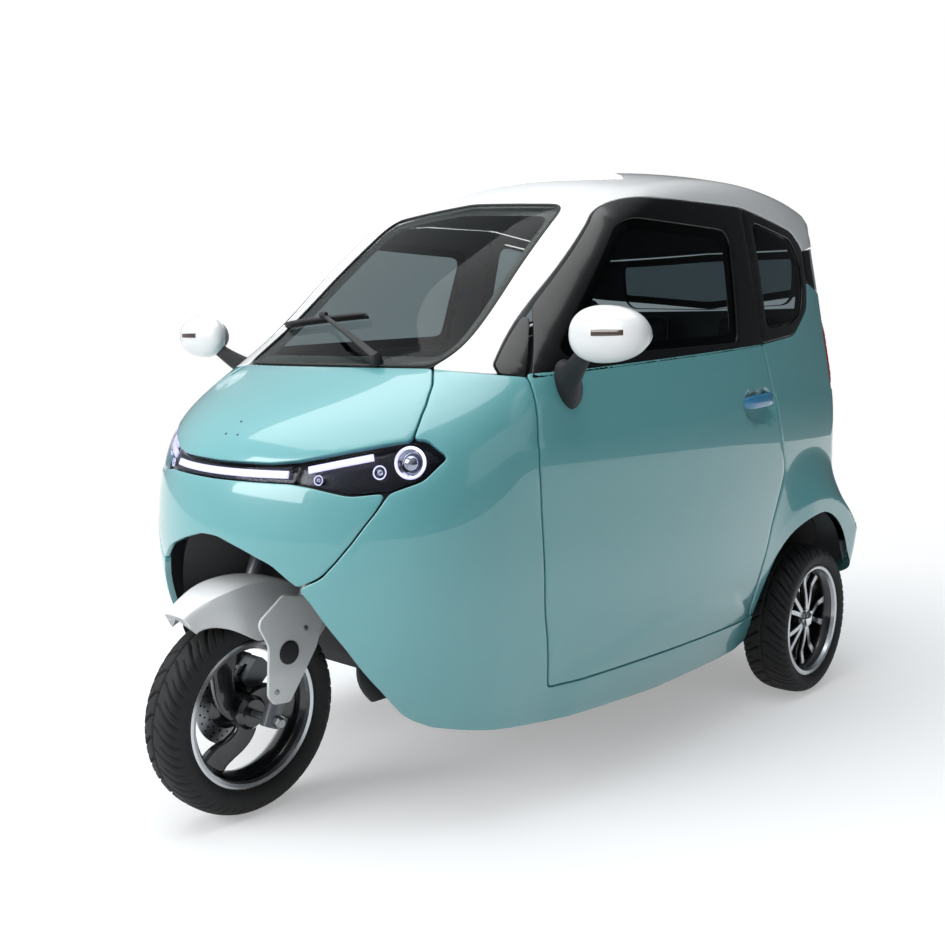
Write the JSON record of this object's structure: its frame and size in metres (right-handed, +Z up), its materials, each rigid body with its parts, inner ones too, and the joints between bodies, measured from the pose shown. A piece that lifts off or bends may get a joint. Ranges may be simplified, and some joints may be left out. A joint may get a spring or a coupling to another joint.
{
  "type": "enclosed electric tricycle",
  "caption": "Enclosed electric tricycle with a hinged-door cab, a steered front wheel on a raked fork and two driven rear wheels.",
  "frame": {"origin": "on the ground, at the centre of the overall length and width", "axes": "+Z up; the front of the vehicle faces -Y; the vehicle's left side is +X"},
  "size_m": [1.572, 2.257, 1.5331],
  "materials": {
    "teal_paint": "gloss",
    "white_paint": "gloss",
    "white_plastic": "gloss",
    "black_gloss": "gloss",
    "tinted_glass": "gloss",
    "red_lens": "gloss",
    "black_plastic": "matte",
    "black_steel": "satin",
    "motor_metal": "satin",
    "grey_steel": "satin",
    "seat_cover": "matte",
    "tyre": "matte",
    "black_alloy": "satin"
  },
  "bodies": {
    "body": {"hood": "teal_paint", "front_bumper": "teal_paint", "front_quarter_left": "teal_paint", "front_quarter_right": "teal_paint", "roof_frame": "white_paint", "rear_quarter_left": "teal_paint", "rear_quarter_right": "teal_paint", "tail_panel": "teal_paint", "sills": "teal_paint", "quarter_frames": "black_gloss", "quarter_glass": "tinted_glass", "windscreen": "tinted_glass", "rear_glass": "tinted_glass", "light_bar": "black_gloss", "headlamps": "black_gloss", "tail_lamps": "red_lens", "floor_pan": "black_plastic", "rear_arch_liners": "black_plastic", "front_arch_liner": "black_plastic", "dashboard": "black_plastic", "chassis_frame": "black_steel", "battery_pack": "black_plastic", "front_seat": "seat_cover", "rear_seat": "seat_cover", "rear_axle": "black_steel", "rear_motor": "motor_metal", "leaf_springs": "black_steel", "wiper": "black_plastic"},
    "steering": {"fork": "grey_steel", "front_mudguard": "white_plastic", "handlebar": "grey_steel", "brake_caliper": "motor_metal"},
    "front_wheel": {"front_tyre": "tyre", "front_rim": "black_alloy"},
    "rear_wheel_left": {"rear_tyre_left": "tyre", "rear_rim_left": "black_alloy"},
    "rear_wheel_right": {"rear_tyre_right": "tyre", "rear_rim_right": "black_alloy"},
    "left_door": {"door_left": "teal_paint", "door_frame_left": "black_gloss", "door_glass_left": "tinted_glass", "door_handle_left": "black_plastic", "mirror_left": "white_paint"},
    "right_door": {"door_right": "teal_paint", "door_frame_right": "black_gloss", "door_glass_right": "tinted_glass", "door_handle_right": "black_plastic", "mirror_right": "white_paint"}
  },
  "joints": [
    {"name": "steering_turn", "type": "hinge", "parent": "body", "child": "steering", "pos_m": [0, -0.86225, 0.228], "axis": [0, 0.3746, 0.9272], "range_deg": [-35, 35]},
    {"name": "front_wheel_spin", "type": "hinge", "parent": "steering", "child": "front_wheel", "pos_m": [0, -0.9, 0.228], "axis": [1, 0, 0], "continuous": true},
    {"name": "rear_wheel_left_spin", "type": "hinge", "parent": "body", "child": "rear_wheel_left", "pos_m": [0.517, 0.75, 0.222], "axis": [1, 0, 0], "continuous": true},
    {"name": "rear_wheel_right_spin", "type": "hinge", "parent": "body", "child": "rear_wheel_right", "pos_m": [-0.517, 0.75, 0.222], "axis": [1, 0, 0], "continuous": true},
    {"name": "left_door_swing", "type": "hinge", "parent": "body", "child": "left_door", "pos_m": [0.552, -0.545, 0.65], "axis": [0.0262, 0, -0.9997], "range_deg": [0, 62]},
    {"name": "right_door_swing", "type": "hinge", "parent": "body", "child": "right_door", "pos_m": [-0.552, -0.545, 0.65], "axis": [0.0262, 0, 0.9997], "range_deg": [0, 62]}
  ]
}
